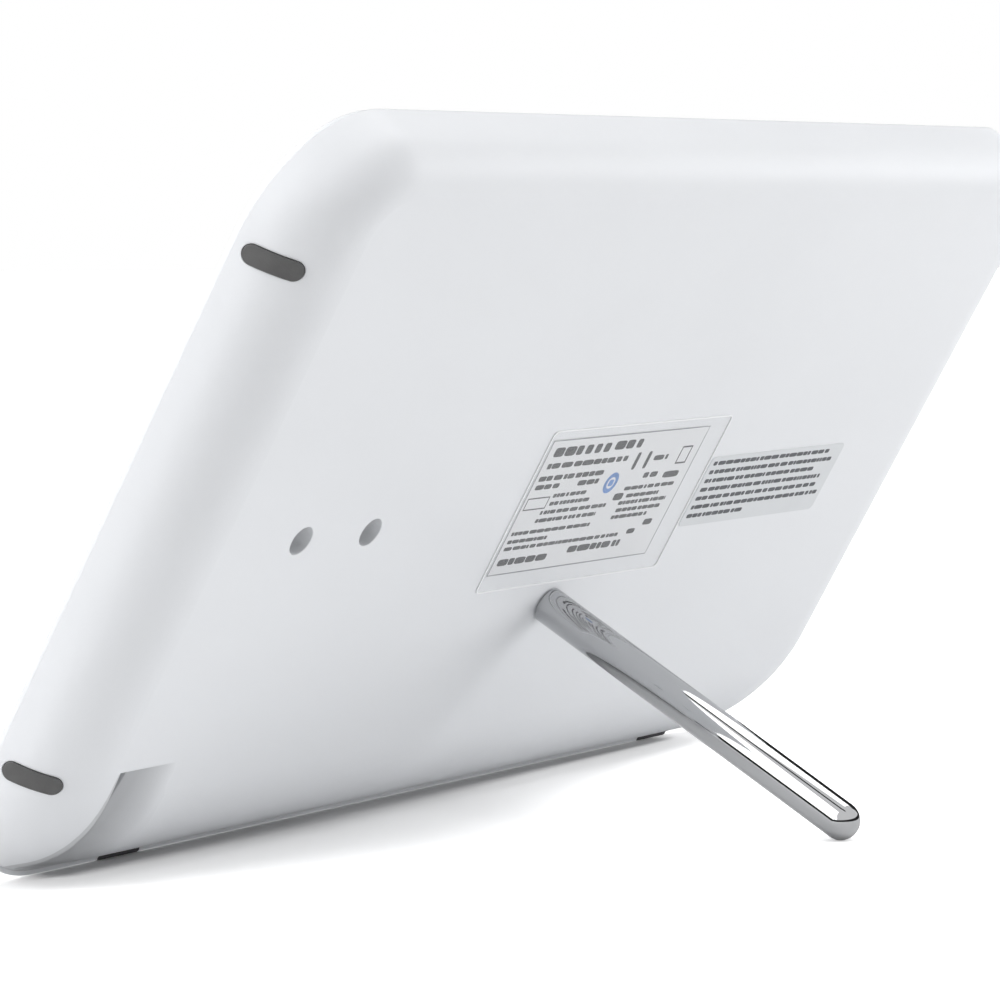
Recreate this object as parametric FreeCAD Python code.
"""Light therapy lamp: a slim edge-lit panel that leans on a screw-in rod.

Every piece is drawn in the panel's own frame and stood on the floor at the end:
x runs along the panel (to the right as seen from behind), y up the panel and z
out of its back.  z = 0 is the plane where the rear housing meets the front frame.
"""
import FreeCAD, Part
import math
import os

from FreeCAD import Vector as V

os.makedirs("parts", exist_ok=True)

# ------------------------------------------------------------------ rear housing
WIDTH = 260.0
HEIGHT = 146.0
DEPTH = 13.0
WALL = 2.0
TOP_CORNER = 22.5
BASE_CORNER = 27.0
BACK_CORNER = 8.0
SIDE_DRAFT = 70.0
SIDE_SHOULDER = 15.0
TOP_DRAFT = 80.0
TOP_SHOULDER = 8.0
BASE_DRAFT = 47.0
BASE_SHOULDER = 28.0
SHADOW_GAP = 0.35
SHADOW_GAP_DEPTH = 0.9

# ------------------------------------------------------------------- front frame
FLANGE = 1.2
FLANGE_SETBACK = 0.9
BASE_LIP = 1.0
FRAME_EDGE_ROUND = 0.5
FRAME_PLATE = 0.6
SKIRT_HEIGHT = 3.2
SKIRT_WALL = 1.2
SKIRT_CLEARANCE = 0.25
WINDOW_FROM_SIDE = 30.0
WINDOW_FROM_EDGE = 17.0
WINDOW_CORNER = 6.0
CATCH_LENGTH = 9.0
CATCH_DEPTH = 0.7
CATCH_HEIGHT = 1.0
CATCH_CLEARANCE = 0.15
LONG_CATCH_STATIONS = (-75.0, 0.0, 75.0)

# ------------------------------------------------------------- edge-lit light unit
WINDOW_OVERLAP = 2.0
DIFFUSER_THICKNESS = 1.5
GUIDE_THICKNESS = 3.0
REFLECTOR_THICKNESS = 0.25
TRAY_THICKNESS = 0.8
TRAY_SIDE_MARGIN = 1.0
STRIP_THICKNESS = 0.8
STRIP_WIDTH = 3.4
STRIP_END_GAP = 3.0
LED_COUNT = 22
LED_LENGTH = 3.0
LED_WIDTH = 1.8
LED_HEIGHT = 0.9
LED_GAP = 0.15
TRAY_EAR_WIDTH = 7.0
TRAY_EAR_STATION = 22.0

# -------------------------------------------------------------------- stand rod
ROD_DIAMETER = 7.0
ROD_LENGTH = 74.0
ROD_HEIGHT_ON_BACK = 51.5
ROD_BASE_CHAMFER = 0.4
STUD_DIAMETER = 4.2
STUD_REACH = 3.4
STUD_SEAT = 9.0
STUD_CLEARANCE = 0.05
STUD_CHAMFER = 0.525
INSERT_DIAMETER = 6.8
INSERT_COLLAR = 0.7
INSERT_WAIST_DEPTH = 0.3
SOCKET_MOUTH_DEPTH = 2.8
SOCKET_MOUTH_DIAMETER = 5.4
SOCKET_BOSS_DIAMETER = 11.0
SOCKET_FLOOR_GAP = 0.4
PORTRAIT_SOCKETS_FROM_EDGE = (37.0, 57.0)

# ------------------------------------------------------------ rubber pads and feet
PAD_WIDTH = 3.3
PAD_SPACING = 95.8
PAD_RISE = 1.2
PAD_SLANT = 0.5
PAD_FRONT = 2.0
PAD_BACK = 10.2
PAD_GROOVE = 0.9
PAD_PROUD = 0.35
PAD_GAP = 0.1
FOOT_RADIUS = 0.72
FOOT_LENGTH = 12.0
FOOT_BELOW_RIM = 0.6
FOOT_FORWARD = 0.5
FOOT_GAP = 0.03
LEFT_FOOT_FROM_EDGE = 50.0
RIGHT_FOOT_FROM_EDGE = 28.0

# ------------------------------------------------------------------- plug recess
RECESS_FROM_EDGE = 16.5
RECESS_LEAN = 2.2
RECESS_RUN = 11.5
RECESS_RUN_AT_BASE = 13.3
RECESS_EASE = 0.3
RECESS_CORNER = 1.5
RECESS_TOP_FROM_BASE = 30.0
RECESS_SINK = 0.30
RECESS_LEAST = 1.1
RECESS_FLOOR_WALL = 1.0
RECESS_WALL = 1.6
SLOT_WIDTH = 7.4
SLOT_FLOOR = 2.6
SLOT_LINING = 1.0

# ------------------------------------------------------------------------ DC jack
JACK_WIDTH = 6.0
JACK_HEIGHT = 4.2
JACK_LENGTH = 6.4
JACK_BORE = 3.6
JACK_BORE_DEPTH = 6.4
JACK_PIN = 1.3
JACK_PIN_CHAMFER = 0.26
JACK_NOSE = 4.4
JACK_NOSE_CLEARANCE = 0.1
JACK_FROM_SLOT_WALL = 4.2
JACK_ABOVE_SLOT_FLOOR = 3.2
JACK_PIN_SETBACK = 1.0
JACK_CONTACT_THICKNESS = 0.3
JACK_CONTACT_WIDTH = 1.6
JACK_NOSE_ROOT = 1.0

# ------------------------------------------------------------------ control board
BOARD_WIDTH = 14.0
BOARD_LENGTH = 68.0
BOARD_THICKNESS = 1.2
BOARD_CORNER = 1.0
BOARD_CENTRE_FROM_EDGE = 12.5
BOARD_CENTRE_HEIGHT = 6.0
BOARD_HEIGHT = 4.0
BOARD_POST_DIAMETER = 4.6
BOARD_HOLE_INSET = 2.6
BOARD_HOLE_FROM_END = 9.0
SCREW_SHANK = 1.8
SCREW_HEAD = 3.6
SCREW_HEAD_HEIGHT = 1.0
SCREW_LENGTH = 4.2
SCREW_CLEARANCE = 0.15
SCREW_GRIP = 0.05
SCREW_CROSS_WIDTH = 0.45
SCREW_CROSS_REACH = 0.9
SCREW_CROSS_DEPTH = 0.6
SCREW_HEAD_ROUND = 0.45
PART_GAP = 0.05

DRIVER_CHIP = (5.0, 4.0, 1.2)
DRIVER_CHIP_STATION = 4.0
COIL_SIZE = 7.0
COIL_HEIGHT = 3.2
COIL_STATION = 13.0
COIL_WINDOW = 4.6
COIL_WINDOW_DEPTH = 0.64
COIL_CORNER = 1.2
CAPACITOR_DIAMETER = 5.0
CAPACITOR_HEIGHT = 4.4
CAPACITOR_STATIONS = (-3.0, -9.0)
CAPACITOR_SHIFT = 3.6
CAPACITOR_CRIMP_HEIGHT = 0.9
CAPACITOR_CRIMP_RADIUS = 0.4
CAPACITOR_CRIMP_OUT = 0.15
SOCKET_SIZE = (4.8, 5.0, 2.8)
SOCKET_SHIFT = 2.9
SOCKET_END_MARGIN = 0.4
SOCKET_BORE_DEPTH = 3.0
LEAD_STUB = 1.8
LEAD_CROSSING = 3.8
LEAD_BESIDE_TRAY = 1.2
LEAD_DIAMETER = 1.0
LEAD_PITCH = 1.8
LEAD_BEND = 2.2
LEAD_END_GAP = 0.125

# ---------------------------------------------------------------------- power key
KEY_DIAMETER = 8.0
KEY_PROUD = 0.35
KEY_CLEARANCE = 0.2
KEY_FLANGE_DIAMETER = 10.0
KEY_FLANGE_HEIGHT = 0.6
KEY_STEM_DIAMETER = 2.4
KEY_HEIGHT_ON_FRAME = 6.0
KEY_DISH_RADIUS = 22.0
KEY_DISH_DEPTH = 0.25
SWITCH_SIZE = 4.6
SWITCH_CORNER = 0.4
SWITCH_HEIGHT = 1.5
SWITCH_PLUNGER_DIAMETER = 2.0
SWITCH_PLUNGER_HEIGHT = 0.6
SWITCH_WELL = 0.9
SWITCH_PLUNGER_SUNK = 0.4
SWITCH_PLUNGER_CLEARANCE = 0.08

# -------------------------------------------------------------------------- labels
LABEL_THICKNESS = 0.12
FILM_THICKNESS = 0.2
LABEL_WIDTH = 55.6
LABEL_HEIGHT = 28.6
LABEL_RIGHT = 0.7
LABEL_UP = 1.1
FILM_WIDTH = 63.6
FILM_HEIGHT = 34.0
FILM_RIGHT = 3.6
FILM_UP = 0.3
LABEL_CORNER = 1.2
INFO_LABEL_WIDTH = 53.5
INFO_LABEL_HEIGHT = 15.6
INFO_LABEL_GAP = 0.8

# --------------------------------------------------------------- sizes that follow
HALF_W = WIDTH / 2
HALF_H = HEIGHT / 2
FRONT_FACE = -FLANGE
WINDOW_WIDTH = WIDTH - 2 * WINDOW_FROM_SIDE
WINDOW_HEIGHT = HEIGHT - 2 * WINDOW_FROM_EDGE
DIFFUSER_FRONT = FRAME_PLATE
GUIDE_FRONT = DIFFUSER_FRONT + DIFFUSER_THICKNESS
REFLECTOR_FRONT = GUIDE_FRONT + GUIDE_THICKNESS
TRAY_FRONT = REFLECTOR_FRONT + REFLECTOR_THICKNESS
TRAY_BACK = TRAY_FRONT + TRAY_THICKNESS
GUIDE_WIDTH = WINDOW_WIDTH + 2 * WINDOW_OVERLAP
GUIDE_HEIGHT = WINDOW_HEIGHT + 2 * WINDOW_OVERLAP
STRIP_FACE = GUIDE_HEIGHT / 2 + LED_GAP + LED_HEIGHT
TRAY_INNER_HALF = STRIP_FACE + STRIP_THICKNESS
TRAY_OUTER_HALF = TRAY_INNER_HALF + TRAY_THICKNESS
TRAY_HALF_WIDTH = GUIDE_WIDTH / 2 + TRAY_SIDE_MARGIN
INNER_BACK = DEPTH - WALL
ROD_Y = ROD_HEIGHT_ON_BACK - HALF_H
SOCKETS = [(0.0, ROD_Y)] + [(edge - HALF_W, 0.0) for edge in PORTRAIT_SOCKETS_FROM_EDGE]
SOCKET_FRONT = TRAY_BACK + SOCKET_FLOOR_GAP
INSERT_BACK = DEPTH - SOCKET_MOUTH_DEPTH
RECESS_X = RECESS_FROM_EDGE - HALF_W
RECESS_TOP = RECESS_TOP_FROM_BASE - HALF_H
BOARD_X = BOARD_CENTRE_FROM_EDGE - HALF_W
BOARD_BACK = BOARD_HEIGHT + BOARD_THICKNESS


# ------------------------------------------------------------------ small helpers
def box(x0, x1, y0, y1, z0, z1):
    """A box between two corners."""
    return Part.makeBox(x1 - x0, y1 - y0, z1 - z0, V(x0, y0, z0))


def rod(radius, x, y, z0, z1):
    """A round bar along z."""
    return Part.makeCylinder(radius, z1 - z0, V(x, y, z0), V(0, 0, 1))


def rod_x(radius, x0, x1, y, z):
    """A round bar along x."""
    return Part.makeCylinder(radius, x1 - x0, V(x0, y, z), V(1, 0, 0))


def rod_y(radius, x, y0, y1, z):
    """A round bar along y."""
    return Part.makeCylinder(radius, y1 - y0, V(x, y0, z), V(0, 1, 0))


def rounded_plate(x0, x1, y0, y1, z0, z1, corner):
    """A flat plate with four round corners."""
    plate = box(x0, x1, y0, y1, z0, z1)
    upright = [e for e in plate.Edges if abs(e.tangentAt(e.FirstParameter).z) > 0.9]
    return plate.makeFillet(corner, upright)


def ring(outer, inner):
    return outer.cut(inner)


def group(solids):
    """Separate identical pieces kept together as one node."""
    return Part.makeCompound(solids)


def one_solid(shape):
    """The single solid of a boolean's result, with its seams merged."""
    solids = shape.removeSplitter().Solids
    if len(solids) != 1:
        raise ValueError("expected one solid, got %d" % len(solids))
    return solids[0]


# ------------------------------------------------------------- the housing's form
def edge_profile(draft, shoulder, z, shrink=0.0):
    """How far the wall has come in at height z: a straight drafted wall, then an
    arc that lies down into the flat back.  shrink offsets the wall inwards."""
    angle = math.radians(draft)
    straight = DEPTH - shoulder * (1 - math.cos(angle))
    flat_at = shoulder * math.sin(angle) + straight / math.tan(angle)
    radius = shoulder - shrink
    centre = DEPTH - shoulder
    if z <= centre + radius * math.cos(angle):
        return z / math.tan(angle) + shrink / math.sin(angle)
    return flat_at - math.sqrt(max(radius * radius - (z - centre) ** 2, 0.0))


def flat_start(draft, shoulder):
    """Where the flat back starts, measured in from the rim."""
    return edge_profile(draft, shoulder, DEPTH)


def outline_at(z, shrink=0.0):
    """Insets of side, top and base and the half axes of the corners at height z."""
    insets = []
    axes = []
    for draft, shoulder in ((SIDE_DRAFT, SIDE_SHOULDER), (TOP_DRAFT, TOP_SHOULDER),
                            (BASE_DRAFT, BASE_SHOULDER)):
        outer = edge_profile(draft, shoulder, min(z, DEPTH))
        inset = edge_profile(draft, shoulder, z, shrink)
        share = outer / flat_start(draft, shoulder)
        insets.append(inset)
        axes.append([corner - (corner - BACK_CORNER) * share - (inset - outer)
                     for corner in (TOP_CORNER, BASE_CORNER)])
    return insets, axes


def quarter(start, corner, end):
    """A quarter ellipse as one cubic curve that leaves start and enters end
    along the sides that meet at corner."""
    reach = 4 * (math.sqrt(2) - 1) / 3
    curve = Part.BezierCurve()
    curve.setPoles([start, start + (corner - start) * reach,
                    end + (corner - end) * reach, end])
    return curve.toShape()


def outline_wire(z, side, top, base, top_axes, base_axes):
    """A rounded rectangle whose corners are quarter ellipses."""
    right = HALF_W - side
    up = HALF_H - top
    down = -HALF_H + base
    corners = [(V(right, up, z), top_axes), (V(-right, up, z), top_axes),
               (V(-right, down, z), base_axes), (V(right, down, z), base_axes)]
    along = [V(-1, 0, 0), V(0, -1, 0), V(1, 0, 0), V(0, 1, 0)]
    edges = []
    starts = []
    ends = []
    for index, (corner, (axis_x, axis_y)) in enumerate(corners):
        before = axis_y if index % 2 == 0 else axis_x
        after = axis_x if index % 2 == 0 else axis_y
        starts.append(corner - along[index - 1] * before)
        ends.append(corner + along[index] * after)
    for index, (corner, _) in enumerate(corners):
        edges.append(quarter(starts[index], corner, ends[index]))
        edges.append(Part.LineSegment(ends[index], starts[(index + 1) % 4]).toShape())
    return Part.Wire(edges)


def shell_outline(z, shrink=0.0, more=0.0):
    """The housing's outline at height z, taken in by shrink and then by more."""
    (side, top, base), (side_axes, top_axes, base_axes) = outline_at(z, shrink)
    return outline_wire(z, side + more, top + more, base + more,
                        (side_axes[0] - more, top_axes[0] - more),
                        (side_axes[1] - more, base_axes[1] - more))


LEVELS = (0.0, 0.12, 0.25, 0.38, 0.50, 0.62, 0.73, 0.83, 0.91, 0.96, 0.99, 1.0)


def housing_form(shrink=0.0):
    """The housing's outer form as a solid, offset inwards by shrink."""
    height = DEPTH - shrink
    wires = [shell_outline(level * height, shrink) for level in LEVELS]
    return Part.makeLoft(wires, True, False)


def prism(wire, z0, z1):
    """A wire's area carried straight from z0 to z1."""
    face = Part.Face(wire)
    face.translate(V(0, 0, z0 - wire.BoundBox.ZMin))
    return face.extrude(V(0, 0, z1 - z0))


def base_height(inset):
    """Height of the outer surface over the base edge, inset in from the rim."""
    angle = math.radians(BASE_DRAFT)
    straight = DEPTH - BASE_SHOULDER * (1 - math.cos(angle))
    flat_at = flat_start(BASE_DRAFT, BASE_SHOULDER)
    if inset >= flat_at:
        return DEPTH
    if inset <= straight / math.tan(angle):
        return inset * math.tan(angle)
    return DEPTH - BASE_SHOULDER + math.sqrt(BASE_SHOULDER ** 2 - (flat_at - inset) ** 2)


# ------------------------------------------------------------------- plug recess
RECESS_STEPS = 10
BEYOND = 4.0


def recess_face(x_top, x_base, sink, drop, top):
    """A face across the recess: its floor follows the shell's own curve, sunk to
    the share sink and lowered by drop, and it is open towards the back."""
    def at(y, z):
        share = (RECESS_TOP - y) / (RECESS_TOP + HALF_H)
        return V(x_top + (x_base - x_top) * share, y, z)

    least = base_height_inverse(RECESS_LEAST / sink)
    first = least - HALF_H
    floor = [at(first + (top - first) * step / RECESS_STEPS, 0)
             for step in range(RECESS_STEPS + 1)]
    for point in floor:
        point.z = base_height(point.y + HALF_H) * sink - drop
    curve = Part.BSplineCurve()
    curve.interpolate(floor)
    outside = -HALF_H - BEYOND
    above = DEPTH + BEYOND
    start = at(outside, floor[0].z)
    edges = [Part.LineSegment(start, floor[0]).toShape(), curve.toShape(),
             Part.LineSegment(floor[-1], at(top, above)).toShape(),
             Part.LineSegment(at(top, above), at(outside, above)).toShape(),
             Part.LineSegment(at(outside, above), start).toShape()]
    return Part.Wire(edges)


def base_height_inverse(height):
    """The inset at which the base edge's surface reaches a height."""
    return edge_profile(BASE_DRAFT, BASE_SHOULDER, height)


def ease_out(way):
    """A straight ramp from 0 that bends softly into 1 over the last of its way."""
    if way <= 1 - RECESS_EASE:
        return way
    return 1 - (1 + RECESS_EASE - way) ** 2 / (4 * RECESS_EASE)


def recess_form(drop=0.0, wall=0.0, corner=0.0):
    """The hollow for the plug, deep at its left wall and running out softly to the
    right.  drop and wall grow it into the material that lines it."""
    top = RECESS_TOP + wall
    stations = [0.0, 0.35, 1 - RECESS_EASE, 1 - RECESS_EASE / 2, 1.0, 1 + RECESS_EASE / 2,
                1 + RECESS_EASE]
    faces = []
    for way in stations:
        more = wall * (2 * way / stations[-1] - 1)
        faces.append(recess_face(RECESS_X + RECESS_RUN * way + more,
                                 RECESS_X + RECESS_LEAN + RECESS_RUN_AT_BASE * way + more,
                                 RECESS_SINK + (1 - RECESS_SINK) * ease_out(way), drop, top))
    form = Part.makeLoft(faces, True, False)
    if corner:
        upright = [e for e in form.Edges if abs(e.tangentAt(e.FirstParameter).z) > 0.99
                   and abs(e.CenterOfMass.x - RECESS_X) < corner and e.CenterOfMass.y > top - corner]
        form = form.makeFillet(corner, upright)
    return form


def plug_slot(side=0.0, end=0.0):
    """The slot along the recess's left wall that takes the plug's body, open at
    the base edge.  side and end grow it into its lining."""
    low = -HALF_H - BEYOND
    lean = RECESS_LEAN * (RECESS_TOP - low) / (RECESS_TOP + HALF_H)
    right = RECESS_X + SLOT_WIDTH + side
    floor = SLOT_FLOOR - side
    corners = [V(RECESS_X - side, RECESS_TOP + end, floor), V(right, RECESS_TOP + end, floor),
               V(right, low, floor), V(RECESS_X + lean - side, low, floor)]
    face = Part.Face(Part.makePolygon(corners + corners[:1]))
    return face.extrude(V(0, 0, DEPTH + BEYOND - floor))


JACK_X = RECESS_X + JACK_FROM_SLOT_WALL
JACK_Z = SLOT_FLOOR + JACK_ABOVE_SLOT_FLOOR
JACK_FACE = RECESS_TOP + RECESS_WALL
JACK_MOUTH = RECESS_TOP + PART_GAP
JACK_BACK = JACK_FACE + JACK_LENGTH


# ------------------------------------------------------------------ pads and feet
PAD_CENTRES = {"side_pad_upper": PAD_RISE + PAD_SPACING / 2,
               "side_pad_lower": PAD_RISE - PAD_SPACING / 2}


def pad_prism(centre_y, width):
    """A stadium that looks straight at the rounded short side, carried inwards."""
    front = V(edge_profile(SIDE_DRAFT, SIDE_SHOULDER, PAD_FRONT) - HALF_W,
              centre_y - PAD_SLANT / 2, PAD_FRONT)
    back = V(edge_profile(SIDE_DRAFT, SIDE_SHOULDER, PAD_BACK) - HALF_W,
             centre_y + PAD_SLANT / 2, PAD_BACK)
    along = (back - front).normalize()
    inwards = V(0, 1, 0).cross(along).normalize()
    if inwards.x < 0:
        inwards = inwards * -1
    across = along.cross(inwards)
    half = width / 2
    extra = (width - PAD_WIDTH) / 2
    low = front + along * (half - extra)
    high = back - along * (half - extra)
    edges = [Part.LineSegment(low + across * half, high + across * half).toShape(),
             Part.Arc(high + across * half, high + along * half, high - across * half).toShape(),
             Part.LineSegment(high - across * half, low - across * half).toShape(),
             Part.Arc(low - across * half, low - along * half, low + across * half).toShape()]
    face = Part.Face(Part.Wire(edges))
    face.translate(inwards * -PAD_WIDTH * 2)
    return face.extrude(inwards * PAD_WIDTH * 4)


def side_pad(centre_y):
    """A rubber pad that wraps round the short side and stands a little proud."""
    blank = pad_prism(centre_y, PAD_WIDTH).common(housing_form(-PAD_PROUD))
    return one_solid(blank.cut(housing_form(PAD_GROOVE)))


def pad_groove(centre_y):
    return pad_prism(centre_y, PAD_WIDTH + 2 * PAD_GAP).cut(housing_form(PAD_GROOVE))


FOOT_CENTRES = {"base_foot_left": LEFT_FOOT_FROM_EDGE - HALF_W,
                "base_foot_right": HALF_W - RIGHT_FOOT_FROM_EDGE}
FOOT_Y = -HALF_H - FOOT_BELOW_RIM


def foot_bar(centre_x, radius):
    """A round rubber bar with ball ends, lying in the base edge."""
    half = FOOT_LENGTH / 2 - FOOT_RADIUS
    bar = rod_x(radius, centre_x - half, centre_x + half, FOOT_Y, -FOOT_FORWARD)
    for side in (-half, half):
        bar = bar.fuse(Part.makeSphere(radius, V(centre_x + side, FOOT_Y, -FOOT_FORWARD)))
    return one_solid(bar)


# ---------------------------------------------------------------- snap catches
def catch_blocks(grow):
    """The frame's catches, and with grow the pockets that they snap into."""
    blocks = []
    z1 = SKIRT_HEIGHT + grow
    z0 = SKIRT_HEIGHT - CATCH_HEIGHT - grow
    base = skirt_inset(BASE_DRAFT, BASE_SHOULDER)
    top = skirt_inset(TOP_DRAFT, TOP_SHOULDER)
    reach = CATCH_DEPTH + grow
    half = CATCH_LENGTH / 2 + grow
    for x in LONG_CATCH_STATIONS:
        blocks.append(box(x - half, x + half, HALF_H - top - SKIRT_WALL / 2,
                          HALF_H - top + reach, z0, z1))
        blocks.append(box(x - half, x + half, base - HALF_H - reach,
                          base - HALF_H + SKIRT_WALL / 2, z0, z1))
    return blocks


def skirt_inset(draft, shoulder):
    """Where the skirt's outer face runs, measured in from the rim."""
    return edge_profile(draft, shoulder, SKIRT_HEIGHT, WALL) + SKIRT_CLEARANCE


# ------------------------------------------------------------------- rear housing
def rear_housing():
    outer = housing_form()
    shell = outer.cut(housing_form(WALL))
    lining = recess_form(RECESS_FLOOR_WALL, RECESS_WALL).fuse(plug_slot(SLOT_LINING, RECESS_WALL))
    shell = shell.fuse(lining.common(outer))
    for x, y in SOCKETS:
        shell = shell.fuse(rod(SOCKET_BOSS_DIAMETER / 2, x, y, SOCKET_FRONT, INNER_BACK + WALL / 2))
    cuts = [recess_form(corner=RECESS_CORNER), plug_slot()]
    for x, y in SOCKETS:
        cuts.append(rod(INSERT_DIAMETER / 2, x, y, SOCKET_FRONT, INSERT_BACK))
        cuts.append(rod(SOCKET_MOUTH_DIAMETER / 2, x, y, INSERT_BACK, DEPTH + BEYOND))
    for centre_y in PAD_CENTRES.values():
        cuts.append(pad_groove(centre_y))
    for centre_x in FOOT_CENTRES.values():
        cuts.append(foot_bar(centre_x, FOOT_RADIUS + FOOT_GAP))
    rim = shell_outline(0.0, 0.0, -BEYOND)
    cuts.append(ring(prism(rim, 0.0, SHADOW_GAP),
                     prism(shell_outline(0.0, 0.0, SHADOW_GAP_DEPTH), 0.0, SHADOW_GAP)))
    cuts.extend(catch_blocks(CATCH_CLEARANCE))
    cuts.append(rod_y(JACK_NOSE / 2 + JACK_NOSE_CLEARANCE, JACK_X, RECESS_TOP - BEYOND,
                      JACK_FACE + BEYOND, JACK_Z))
    return one_solid(shell.cut(cuts))


# -------------------------------------------------------------------- front frame
SCREW_SEATS = []
for side in (-1, 1):
    for rise in (-1, 1):
        SCREW_SEATS.append((side * (TRAY_HALF_WIDTH + TRAY_EAR_WIDTH / 2),
                            rise * TRAY_EAR_STATION, TRAY_FRONT, TRAY_BACK))
for side in (-1, 1):
    for rise in (-1, 1):
        SCREW_SEATS.append((BOARD_X + side * (BOARD_WIDTH / 2 - BOARD_HOLE_INSET),
                            BOARD_CENTRE_HEIGHT + rise * (BOARD_LENGTH / 2 - BOARD_HOLE_FROM_END),
                            BOARD_HEIGHT, BOARD_BACK))


def front_frame():
    """The bezel: a thin flange that closes the housing, a skirt that drops into
    it, catches, and posts for the light unit and the control board."""
    flange = prism(outline_wire(0.0, FLANGE_SETBACK, FLANGE_SETBACK, -BASE_LIP,
                                (TOP_CORNER - FLANGE_SETBACK, TOP_CORNER - FLANGE_SETBACK),
                                (BASE_CORNER - FLANGE_SETBACK, BASE_CORNER + BASE_LIP)),
                   FRONT_FACE, 0.0)
    front_edges = [e for e in flange.Edges
                   if abs(e.BoundBox.ZMax - FRONT_FACE) < 1e-3]
    flange = flange.makeFillet(FRAME_EDGE_ROUND, front_edges)
    plate = prism(shell_outline(FRAME_PLATE, WALL, SKIRT_CLEARANCE), 0.0, FRAME_PLATE)
    skirt = ring(prism(shell_outline(SKIRT_HEIGHT, WALL, SKIRT_CLEARANCE), 0.0, SKIRT_HEIGHT),
                 prism(shell_outline(SKIRT_HEIGHT, WALL, SKIRT_CLEARANCE + SKIRT_WALL),
                       0.0, SKIRT_HEIGHT))
    frame = flange.fuse([plate, skirt] + catch_blocks(0.0))
    for x, y, seat, _ in SCREW_SEATS:
        frame = frame.fuse(rod(BOARD_POST_DIAMETER / 2, x, y, 0.0, seat))
    window = rounded_plate(-WINDOW_WIDTH / 2, WINDOW_WIDTH / 2, -WINDOW_HEIGHT / 2,
                           WINDOW_HEIGHT / 2, FRONT_FACE - BEYOND, FRAME_PLATE + BEYOND,
                           WINDOW_CORNER)
    cuts = [window]
    for x, y, _, top in SCREW_SEATS:
        cuts.append(rod(SCREW_SHANK / 2 + SCREW_GRIP, x, y, top - SCREW_LENGTH - SCREW_CLEARANCE,
                        top))
    for centre_x in FOOT_CENTRES.values():
        cuts.append(foot_bar(centre_x, FOOT_RADIUS + FOOT_GAP))
    cuts.append(rod(KEY_DIAMETER / 2 + KEY_CLEARANCE, BOARD_X, KEY_HEIGHT_ON_FRAME,
                    FRONT_FACE - BEYOND, FRAME_PLATE + BEYOND))
    inside = box(-HALF_W, 0, -HALF_H, 0, 0.0, DEPTH)
    for lining in (recess_form(RECESS_FLOOR_WALL + SKIRT_CLEARANCE, RECESS_WALL + SKIRT_CLEARANCE),
                   plug_slot(SLOT_LINING + SKIRT_CLEARANCE, RECESS_WALL + SKIRT_CLEARANCE)):
        cuts.append(lining.common(inside))
    return one_solid(frame.cut(cuts))


# ---------------------------------------------------------------------- light unit
def sheet(half_x, half_y, z0, z1):
    return box(-half_x, half_x, -half_y, half_y, z0, z1)


def diffuser_panel():
    return rounded_plate(-GUIDE_WIDTH / 2, GUIDE_WIDTH / 2, -GUIDE_HEIGHT / 2, GUIDE_HEIGHT / 2,
                         DIFFUSER_FRONT, GUIDE_FRONT, WINDOW_OVERLAP)


def light_guide():
    return sheet(GUIDE_WIDTH / 2, GUIDE_HEIGHT / 2, GUIDE_FRONT, REFLECTOR_FRONT)


def reflector_sheet():
    return sheet(GUIDE_WIDTH / 2, GUIDE_HEIGHT / 2, REFLECTOR_FRONT, TRAY_FRONT)


def backlight_tray():
    """Folded aluminium: a flat back, a flange along each long edge that carries
    the LED strips, and four ears that are screwed to the frame."""
    tray = sheet(TRAY_HALF_WIDTH, TRAY_OUTER_HALF, TRAY_FRONT, TRAY_BACK)
    for side in (-1, 1):
        y0, y1 = sorted((side * TRAY_INNER_HALF, side * TRAY_OUTER_HALF))
        tray = tray.fuse(box(-TRAY_HALF_WIDTH, TRAY_HALF_WIDTH, y0, y1, FRAME_PLATE, TRAY_BACK))
    for x, y, seat, top in SCREW_SEATS:
        if seat != TRAY_FRONT:
            continue
        x0, x1 = sorted((x - math.copysign(TRAY_EAR_WIDTH, x),
                         x + math.copysign(TRAY_EAR_WIDTH / 2, x)))
        half = TRAY_EAR_WIDTH / 2
        tray = tray.fuse(box(x0, x1, y - half, y + half, seat, top))
        tray = tray.cut(rod(SCREW_SHANK / 2 + SCREW_CLEARANCE, x, y, seat - BEYOND, top + BEYOND))
    return one_solid(tray)


STRIP_MIDDLE = (GUIDE_FRONT + REFLECTOR_FRONT) / 2
STRIP_HALF_LENGTH = GUIDE_WIDTH / 2 - STRIP_END_GAP


def led_strip(side):
    y0, y1 = sorted((side * STRIP_FACE, side * (STRIP_FACE + STRIP_THICKNESS)))
    return box(-STRIP_HALF_LENGTH, STRIP_HALF_LENGTH, y0, y1,
               STRIP_MIDDLE - STRIP_WIDTH / 2, STRIP_MIDDLE + STRIP_WIDTH / 2)


def led_row(side):
    """Evenly spaced side-firing LEDs on one strip."""
    pitch = 2 * STRIP_HALF_LENGTH / LED_COUNT
    leds = []
    for index in range(LED_COUNT):
        x = -STRIP_HALF_LENGTH + (index + 0.5) * pitch
        y0, y1 = sorted((side * STRIP_FACE, side * (STRIP_FACE - LED_HEIGHT)))
        leds.append(box(x - LED_LENGTH / 2, x + LED_LENGTH / 2, y0, y1,
                        STRIP_MIDDLE - LED_WIDTH / 2, STRIP_MIDDLE + LED_WIDTH / 2))
    return group(leds)


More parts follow.
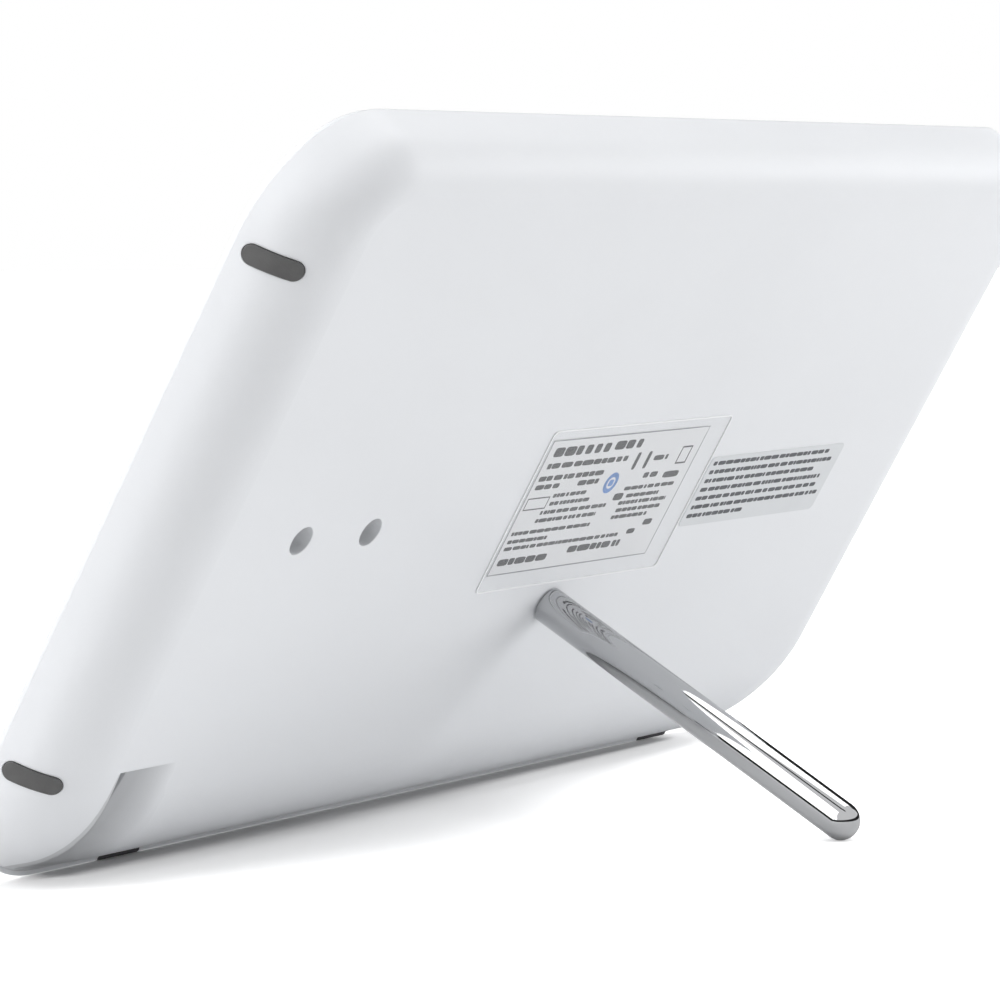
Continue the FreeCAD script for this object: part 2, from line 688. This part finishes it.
# ------------------------------------------------------------------- control board
def small_screw(x, y, top):
    """A pan-head thread-forming screw with a cross recess."""
    head = rod(SCREW_HEAD / 2, x, y, top, top + SCREW_HEAD_HEIGHT)
    rim = [e for e in head.Edges if abs(e.BoundBox.ZMin - top - SCREW_HEAD_HEIGHT) < 1e-3]
    head = head.makeFillet(SCREW_HEAD_ROUND, rim)
    shank = rod(SCREW_SHANK / 2, x, y, top - SCREW_LENGTH, top)
    half = SCREW_CROSS_WIDTH / 2
    arm = SCREW_CROSS_REACH
    floor = top + SCREW_HEAD_HEIGHT - SCREW_CROSS_DEPTH
    cross = box(x - arm, x + arm, y - half, y + half, floor, floor + BEYOND)
    cross = cross.fuse(box(x - half, x + half, y - arm, y + arm, floor, floor + BEYOND))
    return one_solid(head.fuse(shank).cut(cross))


def frame_screws():
    return group([small_screw(x, y, top) for x, y, _, top in SCREW_SEATS])


def control_board():
    board = rounded_plate(BOARD_X - BOARD_WIDTH / 2, BOARD_X + BOARD_WIDTH / 2,
                          BOARD_CENTRE_HEIGHT - BOARD_LENGTH / 2,
                          BOARD_CENTRE_HEIGHT + BOARD_LENGTH / 2,
                          BOARD_HEIGHT, BOARD_BACK, BOARD_CORNER)
    holes = [rod(SCREW_SHANK / 2 + SCREW_CLEARANCE, x, y, 0, DEPTH)
             for x, y, seat, _ in SCREW_SEATS if seat == BOARD_HEIGHT]
    return one_solid(board.cut(holes))


def driver_chip():
    length, width, height = DRIVER_CHIP
    y = BOARD_CENTRE_HEIGHT + DRIVER_CHIP_STATION
    chip = box(BOARD_X - width / 2, BOARD_X + width / 2, y - length / 2, y + length / 2,
               BOARD_BACK, BOARD_BACK + height)
    return chip


def power_coil():
    """A shielded inductor: a square core with a round winding window."""
    y = BOARD_CENTRE_HEIGHT + COIL_STATION
    half = COIL_SIZE / 2
    core = rounded_plate(BOARD_X - half, BOARD_X + half, y - half, y + half,
                         BOARD_BACK, BOARD_BACK + COIL_HEIGHT, COIL_CORNER)
    return one_solid(core.cut(rod(COIL_WINDOW / 2, BOARD_X, y,
                                  BOARD_BACK + COIL_HEIGHT - COIL_WINDOW_DEPTH, DEPTH)))


def capacitors():
    """Two upright cans with the crimp groove near the board."""
    cans = []
    for station in CAPACITOR_STATIONS:
        y = BOARD_CENTRE_HEIGHT + station
        x = BOARD_X + CAPACITOR_SHIFT
        can = rod(CAPACITOR_DIAMETER / 2, x, y, BOARD_BACK, BOARD_BACK + CAPACITOR_HEIGHT)
        crimp = Part.makeTorus(CAPACITOR_DIAMETER / 2 + CAPACITOR_CRIMP_OUT, CAPACITOR_CRIMP_RADIUS,
                               V(x, y, BOARD_BACK + CAPACITOR_CRIMP_HEIGHT))
        cans.append(one_solid(can.cut(crimp)))
    return group(cans)


BOARD_LOW = BOARD_CENTRE_HEIGHT - BOARD_LENGTH / 2
BOARD_HIGH = BOARD_CENTRE_HEIGHT + BOARD_LENGTH / 2
SOCKET_PLACES = {
    "jack": (BOARD_X - SOCKET_SHIFT, BOARD_LOW + SOCKET_END_MARGIN, -1),
    "lower": (BOARD_X + SOCKET_SHIFT, BOARD_LOW + SOCKET_END_MARGIN, -1),
    "upper": (BOARD_X + SOCKET_SHIFT, BOARD_HIGH - SOCKET_END_MARGIN, 1),
}
LEAD_Z = BOARD_BACK + SOCKET_SIZE[2] / 2


def lead_sockets():
    """The sockets that the leads plug into, open towards the board's end."""
    width, length, height = SOCKET_SIZE
    sockets = []
    for x, end, facing in SOCKET_PLACES.values():
        y0, y1 = sorted((end, end - facing * length))
        block = box(x - width / 2, x + width / 2, y0, y1, BOARD_BACK, BOARD_BACK + height)
        for side in (-1, 1):
            block = block.cut(Part.makeCylinder(LEAD_DIAMETER / 2 + PART_GAP, SOCKET_BORE_DEPTH,
                                                V(x + side * LEAD_PITCH / 2, end, LEAD_Z),
                                                V(0, -facing, 0)))
        sockets.append(one_solid(block))
    return group(sockets)


# -------------------------------------------------------------------------- leads
def lead(points):
    """An insulated wire: straight runs joined by tangent arcs."""
    edges = []
    start = points[0]
    for before, corner, after in zip(points, points[1:], points[2:]):
        inwards = (corner - before).normalize()
        outwards = (after - corner).normalize()
        turn = inwards.getAngle(outwards)
        trim = LEAD_BEND * math.tan(turn / 2)
        first = corner - inwards * trim
        last = corner + outwards * trim
        middle = corner + (outwards - inwards).normalize() * (
            LEAD_BEND / math.cos(turn / 2) - LEAD_BEND)
        edges.append(Part.LineSegment(start, first).toShape())
        edges.append(Part.Arc(first, middle, last).toShape())
        start = last
    edges.append(Part.LineSegment(start, points[-1]).toShape())
    path = Part.Wire(edges)
    section = Part.Wire(Part.makeCircle(LEAD_DIAMETER / 2, points[0], points[1] - points[0]))
    return path.makePipeShell([section], True, False)


def jack_leads():
    """The pair from the back of the jack to its socket."""
    x, end, _ = SOCKET_PLACES["jack"]
    wires = []
    for side in (-1, 1):
        at = x + side * LEAD_PITCH / 2
        tag = JACK_X + side * LEAD_PITCH / 2
        wires.append(lead([V(tag, JACK_BACK, JACK_Z),
                           V(tag, JACK_BACK + LEAD_STUB, JACK_Z),
                           V(at, end - LEAD_STUB, LEAD_Z),
                           V(at, end + SOCKET_SIZE[1] / 2, LEAD_Z)]))
    return group(wires)


def strip_leads():
    """A pair from the end of each LED strip round to the control board."""
    wires = []
    beside = -TRAY_HALF_WIDTH - LEAD_BESIDE_TRAY
    for name, facing in (("upper", 1), ("lower", -1)):
        x, end, _ = SOCKET_PLACES[name]
        y = facing * (TRAY_INNER_HALF - LEAD_DIAMETER / 2 - PART_GAP)
        for side in (-1, 1):
            at = x + side * LEAD_PITCH / 2
            z = STRIP_MIDDLE + side * LEAD_PITCH / 2
            wires.append(lead([V(-STRIP_HALF_LENGTH - LEAD_END_GAP, y, z),
                               V(beside, y, z),
                               V(beside, end + facing * (LEAD_STUB + LEAD_CROSSING), z),
                               V(at, end + facing * LEAD_STUB, LEAD_Z),
                               V(at, end - facing * SOCKET_SIZE[1] / 2, LEAD_Z)]))
    return group(wires)


# ------------------------------------------------------------------------ DC jack
def dc_jack_body():
    half = JACK_WIDTH / 2
    body = box(JACK_X - half, JACK_X + half, JACK_FACE, JACK_BACK, JACK_Z - JACK_HEIGHT / 2,
               JACK_Z + JACK_HEIGHT / 2)
    body = body.fuse(rod_y(JACK_NOSE / 2, JACK_X, JACK_MOUTH, JACK_FACE + JACK_NOSE_ROOT, JACK_Z))
    cuts = [rod_y(JACK_BORE / 2, JACK_X, JACK_MOUTH - BEYOND, JACK_MOUTH + JACK_BORE_DEPTH, JACK_Z),
            jack_contact_blank(PART_GAP),
            rod_y(JACK_PIN / 2, JACK_X, JACK_MOUTH, JACK_BACK, JACK_Z)]
    return one_solid(body.cut(cuts))


def dc_jack_pin():
    tip_at = JACK_MOUTH + JACK_PIN_SETBACK
    pin = rod_y(JACK_PIN / 2, JACK_X, tip_at, JACK_BACK, JACK_Z)
    tip = [e for e in pin.Edges if abs(e.BoundBox.YMax - tip_at) < 1e-3]
    return one_solid(pin.makeChamfer(JACK_PIN_CHAMFER, tip))


def jack_contact_blank(grow):
    """The sleeve contact's leaf, along the floor of the bore."""
    half = JACK_CONTACT_WIDTH / 2 + grow
    thick = JACK_CONTACT_THICKNESS / 2 + grow
    z = JACK_Z - JACK_BORE / 2
    return box(JACK_X - half, JACK_X + half, JACK_MOUTH + JACK_PIN_SETBACK, JACK_BACK,
               z - thick, z + thick)


def dc_jack_contact():
    return jack_contact_blank(0.0)


# ---------------------------------------------------------------------- power key
SWITCH_FRONT = BOARD_HEIGHT - SWITCH_HEIGHT
PLUNGER_FRONT = SWITCH_FRONT - SWITCH_PLUNGER_HEIGHT


def power_key():
    """The push key: a dished cap, a flange behind the frame that keeps it in,
    and a stem that meets the switch."""
    x, y = BOARD_X, KEY_HEIGHT_ON_FRAME
    face = FRONT_FACE - KEY_PROUD
    back = FRAME_PLATE + PART_GAP
    cap = rod(KEY_DIAMETER / 2, x, y, face, back)
    edge = [e for e in cap.Edges if abs(e.BoundBox.ZMax - face) < 1e-3]
    cap = cap.makeFillet(KEY_PROUD, edge)
    cap = cap.cut(Part.makeSphere(KEY_DISH_RADIUS, V(x, y, face - KEY_DISH_RADIUS + KEY_DISH_DEPTH)))
    flange = rod(KEY_FLANGE_DIAMETER / 2, x, y, back, back + KEY_FLANGE_HEIGHT)
    stem = rod(KEY_STEM_DIAMETER / 2, x, y, back, PLUNGER_FRONT - PART_GAP)
    return one_solid(cap.fuse([flange, stem]))


def key_switch_body():
    half = SWITCH_SIZE / 2
    x, y = BOARD_X, KEY_HEIGHT_ON_FRAME
    body = rounded_plate(x - half, x + half, y - half, y + half, SWITCH_FRONT, BOARD_HEIGHT,
                         SWITCH_CORNER)
    well = rod(SWITCH_PLUNGER_DIAMETER / 2 + SWITCH_PLUNGER_CLEARANCE, x, y,
               SWITCH_FRONT - BEYOND, SWITCH_FRONT + SWITCH_WELL)
    return one_solid(body.cut(well))


def key_switch_plunger():
    return rod(SWITCH_PLUNGER_DIAMETER / 2, BOARD_X, KEY_HEIGHT_ON_FRAME, PLUNGER_FRONT,
               SWITCH_FRONT + SWITCH_PLUNGER_SUNK)


# --------------------------------------------------------------------- stand parts
def stand_inserts():
    """Plated inserts with a retaining collar and a waist that grips the boss."""
    inserts = []
    for x, y in SOCKETS:
        blank = rod(INSERT_DIAMETER / 2, x, y, SOCKET_FRONT, INSERT_BACK)
        waist_from = SOCKET_FRONT + INSERT_COLLAR
        waist = ring(rod(INSERT_DIAMETER, x, y, waist_from, waist_from + INSERT_COLLAR),
                     rod(INSERT_DIAMETER / 2 - INSERT_WAIST_DEPTH, x, y, waist_from,
                         waist_from + INSERT_COLLAR))
        bore = rod(STUD_DIAMETER / 2 + STUD_CLEARANCE, x, y, SOCKET_FRONT - BEYOND, INSERT_BACK + BEYOND)
        inserts.append(one_solid(blank.cut([waist, bore])))
    return group(inserts)


def stand_stud():
    x, y = SOCKETS[0]
    low = INSERT_BACK - STUD_REACH
    stud = rod(STUD_DIAMETER / 2, x, y, low, DEPTH + STUD_SEAT)
    tip = [e for e in stud.Edges if abs(e.BoundBox.ZMax - low) < 1e-3]
    return one_solid(stud.makeChamfer(STUD_CHAMFER, tip))


def stand_rod():
    """A plain round rod with a ball end, bored for the stud."""
    x, y = SOCKETS[0]
    radius = ROD_DIAMETER / 2
    ball = DEPTH + ROD_LENGTH - radius
    bar = rod(radius, x, y, DEPTH, ball)
    base = [e for e in bar.Edges if abs(e.BoundBox.ZMax - DEPTH) < 1e-3]
    bar = bar.makeChamfer(ROD_BASE_CHAMFER, base)
    bar = bar.fuse(Part.makeSphere(radius, V(x, y, ball)))
    bore = rod(STUD_DIAMETER / 2 + STUD_CLEARANCE, x, y, DEPTH - BEYOND, DEPTH + STUD_SEAT + PART_GAP)
    return one_solid(bar.cut(bore))


# -------------------------------------------------------------------------- labels
def label_plate(centre_x, centre_y, width, height, thickness):
    return rounded_plate(centre_x - width / 2, centre_x + width / 2, centre_y - height / 2,
                         centre_y + height / 2, DEPTH, DEPTH + thickness, LABEL_CORNER)


def rating_label():
    return label_plate(LABEL_RIGHT, LABEL_UP, LABEL_WIDTH, LABEL_HEIGHT, LABEL_THICKNESS)


def label_film():
    """Clear film over the rating label, stuck down all round it."""
    film = label_plate(FILM_RIGHT, FILM_UP, FILM_WIDTH, FILM_HEIGHT, FILM_THICKNESS)
    return one_solid(film.cut(rating_label()))


def info_label():
    left = FILM_RIGHT + FILM_WIDTH / 2 + INFO_LABEL_GAP
    return label_plate(left + INFO_LABEL_WIDTH / 2, 0.0, INFO_LABEL_WIDTH, INFO_LABEL_HEIGHT,
                       LABEL_THICKNESS)


# ----------------------------------------------------------------- all the pieces
PIECES = {
    "rear_housing": rear_housing(),
    "front_frame": front_frame(),
    "diffuser_panel": diffuser_panel(),
    "light_guide": light_guide(),
    "reflector_sheet": reflector_sheet(),
    "backlight_tray": backlight_tray(),
    "led_strip_upper": led_strip(1),
    "led_strip_lower": led_strip(-1),
    "leds_upper": led_row(1),
    "leds_lower": led_row(-1),
    "frame_screws": frame_screws(),
    "control_board": control_board(),
    "driver_chip": driver_chip(),
    "power_coil": power_coil(),
    "capacitors": capacitors(),
    "lead_sockets": lead_sockets(),
    "jack_leads": jack_leads(),
    "strip_leads": strip_leads(),
    "dc_jack_body": dc_jack_body(),
    "dc_jack_pin": dc_jack_pin(),
    "dc_jack_contact": dc_jack_contact(),
    "key_switch_body": key_switch_body(),
    "key_switch_plunger": key_switch_plunger(),
    "power_key": power_key(),
    "stand_inserts": stand_inserts(),
    "stand_stud": stand_stud(),
    "stand_rod": stand_rod(),
    "rating_label": rating_label(),
    "label_film": label_film(),
    "info_label": info_label(),
}
for name, centre in PAD_CENTRES.items():
    PIECES[name] = side_pad(centre)
for name, centre in FOOT_CENTRES.items():
    PIECES[name] = foot_bar(centre, FOOT_RADIUS)


# ------------------------------------------------------------- standing on the floor
def lean_angle():
    """The panel leans back until the feet and the rod's ball end meet one floor."""
    ball = ROD_DIAMETER / 2
    rise = FOOT_Y - ROD_Y
    reach = DEPTH + ROD_LENGTH - ball + FOOT_FORWARD
    return math.atan2(reach, rise) - math.acos((FOOT_RADIUS - ball) / math.hypot(reach, rise))


LEAN = lean_angle()
ALONG = V(-1, 0, 0)
UP_PANEL = V(0, math.sin(LEAN), math.cos(LEAN))
OUT_OF_BACK = V(0, math.cos(LEAN), -math.sin(LEAN))
TURN = FreeCAD.Placement(FreeCAD.Matrix(
    ALONG.x, UP_PANEL.x, OUT_OF_BACK.x, 0,
    ALONG.y, UP_PANEL.y, OUT_OF_BACK.y, 0,
    ALONG.z, UP_PANEL.z, OUT_OF_BACK.z, 0,
    0, 0, 0, 1))


def stood(shape, placement):
    """A copy of a piece, moved from the panel's frame by a placement."""
    copy = shape.copy()
    copy.Placement = placement.multiply(copy.Placement)
    return copy


EXTENT = stood(group(list(PIECES.values())), TURN).optimalBoundingBox(True, False)
STAND = FreeCAD.Placement(V(-(EXTENT.XMin + EXTENT.XMax) / 2, -(EXTENT.YMin + EXTENT.YMax) / 2,
                            -EXTENT.ZMin), FreeCAD.Rotation()).multiply(TURN)

for name, piece in PIECES.items():
    stood(piece, STAND).exportStep("parts/%s.step" % name)
    print("%-20s %2d solid(s) %10.1f mm3" % (name, len(piece.Solids), piece.Volume))
print("leans back %.2f degrees" % math.degrees(LEAN))
